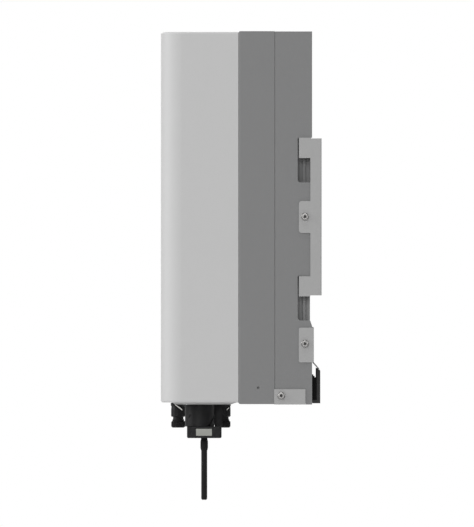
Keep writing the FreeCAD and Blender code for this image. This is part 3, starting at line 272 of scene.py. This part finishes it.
def plate(outlines, base, normal, up, thick, lip=0.0):
    """Points and faces of flat plates with a chamfered rim, standing on base along normal.

    Each outline is a list of (across, up) places; across is up x normal.
    """
    normal, up = Vector(normal), Vector(up)
    across = up.cross(normal)
    points, faces = [], []
    for outline in outlines:
        count = len(outline)
        centre = Vector((sum(p[0] for p in outline), sum(p[1] for p in outline))) / count
        first = len(points)
        for level, shrink in ((0.0, 0.0), (thick - lip, 0.0), (thick, lip)):
            for place in outline:
                flat = Vector(place)
                if shrink:
                    flat = flat + (centre - flat).normalized() * shrink
                point = Vector(base) + across * flat.x + up * flat.y + normal * level
                points.append(tuple(point))
        for ring in range(2):
            low = first + ring * count
            for k in range(count):
                after = (k + 1) % count
                faces.append((low + k, low + after, low + count + after, low + count + k))
        faces.append(tuple(first + 2 * count + k for k in range(count)))
        faces.append(tuple(first + count - 1 - k for k in range(count)))
    return points, faces


def bar(x0, x1, y0, y1):
    return [(x0, y0), (x1, y0), (x1, y1), (x0, y1)]


def ring_quads(centre, inner, outer, count=28):
    """A flat ring as a row of small quadrilaterals."""
    quads = []
    for k in range(count):
        a, b = (2 * math.pi * (k + step) / count for step in (0, 1))
        corners = ((inner, a), (outer, a), (outer, b), (inner, b))
        quads.append([(centre[0] + r * math.cos(t), centre[1] + r * math.sin(t)) for r, t in corners])
    return quads


def hexagon(radius, turn=0.0):
    angles = [turn + math.pi / 3 * k for k in range(6)]
    return [(radius * math.cos(a), radius * math.sin(a)) for a in angles]


def screw_socket_shades():
    """Painted shade in each side screw's hexagon socket: dark walls and a coned floor.

    A level is a height above the screw's seat with the hexagon's radius there.
    """
    levels = ((2.12, 1.7), (0.86, 1.68), (0.82, 1.1))
    cone_tip = 0.8
    points, faces = [], []
    for seat, y, z in (UPPER_SCREW, LOWER_SCREW, GUARD_SCREW):
        for side in (1, -1):
            first = len(points)
            for height, radius in levels:
                for across, high in hexagon(radius, math.pi / 2):
                    points.append((side * (seat + height), y + across, z + high))
            points.append((side * (seat + cone_tip), y, z))
            for ring in range(2):
                low = first + 6 * ring
                for k in range(6):
                    after = (k + 1) % 6
                    faces.append((low + k, low + after, low + 6 + after, low + 6 + k))
            for k in range(6):
                faces.append((first + 12 + k, first + 12 + (k + 1) % 6, first + 18))
    make_piece("screw_socket_shades", points, faces, SOCKET_PAINTED_SHADE, "inverter")


def highlight_strip_section(out, floor, half_high, edge):
    """The highlight strip's section, as (distance from the connector's middle plane, height)."""
    section = [(floor, half_high), (out - edge, half_high), (out, 0.0)]
    section += [(out - edge, -half_high), (floor, -half_high)]
    return [(max(across, floor), rise) for across, rise in section]


def connector_highlight_strips():
    """A near-white strip in the slanted groove on both flanks of each string connector, a painted
    highlight.

    A row is its place along Y, where its strips start and end along Y, and their top and foot.
    """
    rows = [(FRONT_ROW, -3.4, 4.3, -0.9, -6.9), (REAR_ROW, 7.0, 3.3, -3.2, -6.9)]
    collar, groove_floor, half_high, edge = 7.0, 4.7, 0.7, 0.1
    steps, corners = 6, 5
    points, faces = [], []
    for column in CONNECTOR_COLUMNS:
        for row, start, end, top, foot in rows:
            for side in (1, -1):
                first = len(points)
                for k in range(steps + 1):
                    share = k / steps
                    along = start + (end - start) * share
                    high = top + (foot - top) * share
                    out = math.sqrt(max(collar**2 - along**2, 2.0))
                    for across, rise in highlight_strip_section(out, groove_floor, half_high, edge):
                        points.append((column + side * across, row + along, PORT_FACE + high + rise))
                for k in range(steps):
                    low = first + corners * k
                    for point in range(corners):
                        after = (point + 1) % corners
                        faces.append(
                            (low + point, low + after, low + corners + after, low + corners + point)
                        )
                faces.append(tuple(first + k for k in range(corners)))
                faces.append(tuple(first + corners * steps + k for k in range(corners)))
    make_piece("connector_highlight_strips", points, faces, HIGHLIGHT_WHITE, "inverter")


def boss_marks():
    """Printed marks on the port boss: polarity beside each row, off and on at the switch."""
    long, thin = 2.2, 0.35
    plus, minus = -132.1, -111.05
    switch_x, switch_y = SWITCH_AXIS
    from_axis = 21.0
    one_half = 2.1
    marks = []
    for x in CONNECTOR_COLUMNS:
        marks.append(bar(x - long, x + long, plus - thin, plus + thin))
        marks.append(bar(x - thin, x + thin, plus + thin, plus + long))
        marks.append(bar(x - thin, x + thin, plus - long, plus - thin))
        marks.append(bar(x - long, x + long, minus - thin, minus + thin))
    marks += ring_quads((switch_x + from_axis, switch_y), 1.5, 2.1)
    one = switch_y - from_axis
    marks.append(bar(switch_x - thin, switch_x + thin, one - one_half, one + one_half))
    flipped = [[(x, -y) for x, y in mark] for mark in marks]
    points, faces = plate(flipped, (0, 0, PORT_FACE), (0, 0, -1), (0, -1, 0), PRINT_THICK)
    make_piece("boss_marks", points, faces, PRINT_BLACK, "inverter")


def switch_pointer():
    """The white inlay in the switch knob's pointer slot."""
    near, far, half, tip = 7.3, 12.7, 0.65, 0.25
    inlay = [(near, -half), (far, -half), (far + tip, 0.0)]
    inlay += [(far, half), (near, half), (near - tip, 0.0)]
    base = (*SWITCH_AXIS, KNOB_FACE)
    points, faces = plate([inlay], base, (0, 0, -1), (0, 1, 0), 0.7, 0.12)
    make_piece("switch_pointer", points, faces, PRINT_WHITE, "dc_switch")


def ground_mark():
    """The printed earth sign above the ground screw: a stem over three shorter and shorter bars."""
    half_line, step, stem = 0.3, 1.3, 2.6
    sign = [bar(-half_line, half_line, 0.0, stem)]
    for row, half_wide in enumerate((2.6, 1.7, 0.8)):
        middle = -step * row
        sign.append(bar(-half_wide, half_wide, middle - half_line, middle + half_line))
    points, faces = plate(sign, GROUND_MARK, (-1, 0, 0), (0, 0, 1), PRINT_THICK)
    make_piece("ground_mark", points, faces, PRINT_WHITE, "inverter")


def detail_pieces():
    screw_socket_shades()
    connector_highlight_strips()
    boss_marks()
    switch_pointer()
    ground_mark()


# ---- stage -------------------------------------------------------------------------------------


CAMERA_LENS = 1500.0
CAMERA_AWAY = 22.233
CAMERA_AIM = (-0.085, -0.0468)
LIGHT_AIM = (0.0, -0.1, -0.05)
WORLD_LIGHT = 0.53
WORLD_SEEN = 1.0
LIGHTS = (
    ("key_light", (6.0, -1.0, 1.6), 3.0, 120.0),
    ("front_light", (0.8, -6.0, 1.8), 3.0, 205.0),
    ("left_light", (-6.0, -1.5, 1.8), 3.0, 138.0),
    ("top_light", (1.2, -0.3, 4.5), 0.6, 40.0),
    ("back_light", (-1.0, 6.0, 2.5), 3.0, 138.0),
)


def make_camera():
    """Level, square to the side, far away with a long lens."""
    data = bpy.data.cameras.new("camera")
    data.lens = CAMERA_LENS
    data.sensor_width = 36.0
    data.clip_end = 60.0
    camera = bpy.data.objects.new("camera", data)
    bpy.context.collection.objects.link(camera)
    camera.location = (CAMERA_AWAY, *CAMERA_AIM)
    camera.rotation_euler = (math.pi / 2, 0.0, math.pi / 2)
    bpy.context.scene.camera = camera


def make_light(name, place, size, power):
    data = bpy.data.lights.new(name, "AREA")
    data.shape = "SQUARE"
    data.size = size
    data.energy = power
    light = bpy.data.objects.new(name, data)
    bpy.context.collection.objects.link(light)
    light.location = place
    aim = Vector(LIGHT_AIM) - Vector(place)
    light.rotation_euler = aim.to_track_quat("-Z", "Y").to_euler()
    light.visible_camera = False


def make_world():
    """A white backdrop for the eye, and a softer white light on the object."""
    world = bpy.data.worlds.new("studio")
    bpy.context.scene.world = world
    world.use_nodes = True
    tree = world.node_tree
    background = tree.nodes["Background"]
    background.inputs["Color"].default_value = (1.0, 1.0, 1.0, 1.0)
    rays = tree.nodes.new("ShaderNodeLightPath")
    strength = ramp(tree, rays.outputs["Is Camera Ray"], 0.0, 1.0, WORLD_LIGHT, WORLD_SEEN)
    tree.links.new(strength, background.inputs["Strength"])
    bpy.context.scene.view_settings.view_transform = "Standard"


def make_floor():
    """A round of plain pale floor well below the object, which hangs on a wall."""
    rings, spokes = 12, 96
    reach, depth = 1300.0, -1100.0
    points = [(0.0, 0.0, depth)]
    faces = []
    for ring in range(1, rings + 1):
        radius = reach * ring / rings
        for spoke in range(spokes):
            angle = 2 * math.pi * spoke / spokes
            points.append((radius * math.cos(angle), radius * math.sin(angle), depth))
    for spoke in range(spokes):
        faces.append((0, 1 + spoke, 1 + (spoke + 1) % spokes))
    for ring in range(rings - 1):
        low = 1 + ring * spokes
        for spoke in range(spokes):
            after = (spoke + 1) % spokes
            faces.append((low + spoke, low + spokes + spoke, low + spokes + after, low + after))
    mesh = bpy.data.meshes.new("floor")
    mesh.from_pydata([tuple(c * MM for c in point) for point in points], [], faces)
    mesh.materials.append(powder_coat("floor_paint", (0.93, 0.93, 0.93), 300.0, (0.7, 0.8), 0.1))
    floor = bpy.data.objects.new("floor", mesh)
    bpy.context.collection.objects.link(floor)


def make_stage():
    make_world()
    make_floor()
    for name, place, size, power in LIGHTS:
        make_light(name, place, size, power)


make_camera()
make_stage()
dress_nodes()
detail_pieces()
